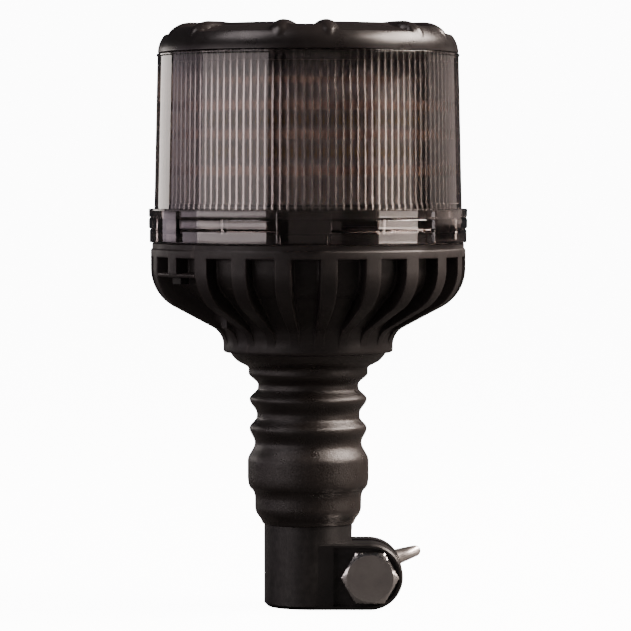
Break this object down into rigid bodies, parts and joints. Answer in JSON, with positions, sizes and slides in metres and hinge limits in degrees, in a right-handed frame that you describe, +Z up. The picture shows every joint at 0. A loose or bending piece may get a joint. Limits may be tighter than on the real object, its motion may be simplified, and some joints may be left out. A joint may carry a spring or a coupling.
{
  "type": "led beacon",
  "caption": "Pole-mounted LED warning beacon: smoked fluted lens with a domed cap on a finned base, a flexible rubber neck and a clamped pole socket.",
  "frame": {"origin": "centre of the pole socket's mouth", "axes": "+Z up the beacon's axis, +X towards the clamp ears, -Y the side of the clamp bolt's head"},
  "size_m": [0.108, 0.1104, 0.1975],
  "materials": {
    "socket_plastic": "smooth black moulding",
    "stainless": "bright stainless",
    "rubber": "satin black rubber",
    "base_plastic": "fine-textured black",
    "smoked_lens": "clear, smoked grey-brown",
    "cap_plastic": "satin black",
    "insulator": "natural",
    "brass": "turned",
    "spring_steel": "drawn",
    "red_wire": "insulation",
    "black_wire": "insulation",
    "aluminium": "plain",
    "zinc_steel": "zinc plated",
    "green_board": "solder mask",
    "white_board": "solder mask",
    "emitter": "phosphor",
    "reflector": "metallised",
    "dark_plastic": "moulded",
    "terminal_plastic": "moulded"
  },
  "bodies": {
    "socket": {"pole_socket": "socket_plastic", "contact_carrier": "insulator", "carrier_nut": "brass", "return_contact": "brass", "contact_spring": "spring_steel", "clamp_bolt": "stainless"},
    "washer": {"clamp_washer": "stainless"},
    "nut": {"wing_nut": "stainless"},
    "contact": {"centre_contact": "brass"},
    "neck": {"flex_neck": "rubber", "live_lead": "red_wire", "return_lead": "black_wire"},
    "head": {"base_housing": "base_plastic", "neck_clamp_ring": "aluminium", "clamp_ring_screws": "zinc_steel", "lead_grommet": "rubber", "lens_lock_screw": "zinc_steel", "lens_seal": "rubber", "driver_board": "green_board", "board_screws": "zinc_steel", "capacitors": "aluminium", "inductor": "dark_plastic", "driver_chips": "dark_plastic", "terminal_block": "terminal_plastic", "chassis_plate": "aluminium", "plate_screws": "zinc_steel", "light_core": "aluminium", "core_screws": "zinc_steel", "led_board_1": "white_board", "led_board_2": "white_board", "led_board_3": "white_board", "led_board_4": "white_board", "led_board_5": "white_board", "led_board_6": "white_board", "led_emitters_1": "emitter", "led_emitters_2": "emitter", "led_emitters_3": "emitter", "led_emitters_4": "emitter", "led_emitters_5": "emitter", "led_emitters_6": "emitter", "reflector_lower": "reflector", "reflector_middle": "reflector", "reflector_upper": "reflector", "spacers_lower": "aluminium", "spacers_middle": "aluminium", "spacers_upper": "aluminium", "spacers_top": "aluminium", "tower_plate": "aluminium", "tie_nuts": "zinc_steel"},
    "lens": {"lens": "smoked_lens", "top_cap": "cap_plastic"}
  },
  "joints": [
    {"name": "neck_bend_side", "type": "hinge", "parent": "socket", "child": "neck", "pos_m": [0, 0, 0.0606], "axis": [0, 1, 0], "range_deg": [-20, 20], "stiffness_Nm_per_rad": 8, "deforming": ["flex_neck", "live_lead", "return_lead"]},
    {"name": "neck_bend_front", "type": "hinge", "parent": "neck", "child": "head", "pos_m": [0, 0, 0.0705], "axis": [1, 0, 0], "range_deg": [-20, 20], "stiffness_Nm_per_rad": 8, "deforming": ["flex_neck", "live_lead", "return_lead"]},
    {"name": "lens_twist", "type": "hinge", "parent": "head", "child": "lens", "pos_m": [0, 0, 0.1238], "axis": [0, 0, 1], "range_deg": [0, 21]},
    {"name": "washer_slide", "type": "slide", "parent": "socket", "child": "washer", "axis": [0, 1, 0], "range_m": [0, 0.006]},
    {"name": "wing_nut_turn", "type": "hinge", "parent": "washer", "child": "nut", "pos_m": [0.0208, 0, 0.0112], "axis": [0, 1, 0], "range_deg": [0, 1440]},
    {"name": "contact_press", "type": "slide", "parent": "socket", "child": "contact", "axis": [0, 0, 1], "range_m": [0, 0.002], "stiffness_N_per_m": 400, "deforming": ["contact_spring"]}
  ],
  "couplings": [
    {"joint": "wing_nut_turn", "follows": "washer_slide", "rad_per_m": 4188.8}
  ]
}
